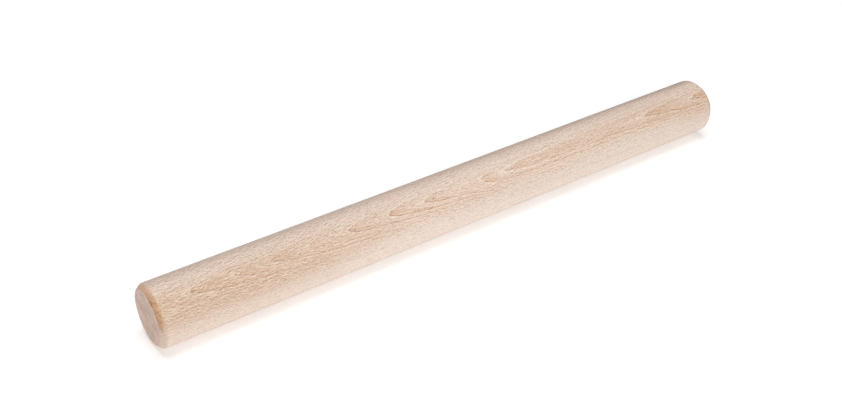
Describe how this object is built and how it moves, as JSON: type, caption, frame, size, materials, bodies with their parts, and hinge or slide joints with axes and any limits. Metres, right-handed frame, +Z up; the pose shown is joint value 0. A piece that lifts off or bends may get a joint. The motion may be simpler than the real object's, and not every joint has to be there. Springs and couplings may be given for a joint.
{
  "type": "french rolling pin",
  "caption": "Straight solid wooden rolling pin without handles: a plain turned cylinder whose ends are bevelled and sanded smooth.",
  "frame": {"origin": "middle of the pin's axis, halfway between the two end faces", "axes": "+X along the axis towards one end, +Y square to the axis and level, +Z up"},
  "size_m": [0.5, 0.0444, 0.0445],
  "materials": {
    "beech": "bare steamed beech, turned and sanded smooth, no varnish, burnished on the bevels"
  },
  "bodies": {
    "root": {"rolling_pin": "beech"}
  },
  "joints": []
}
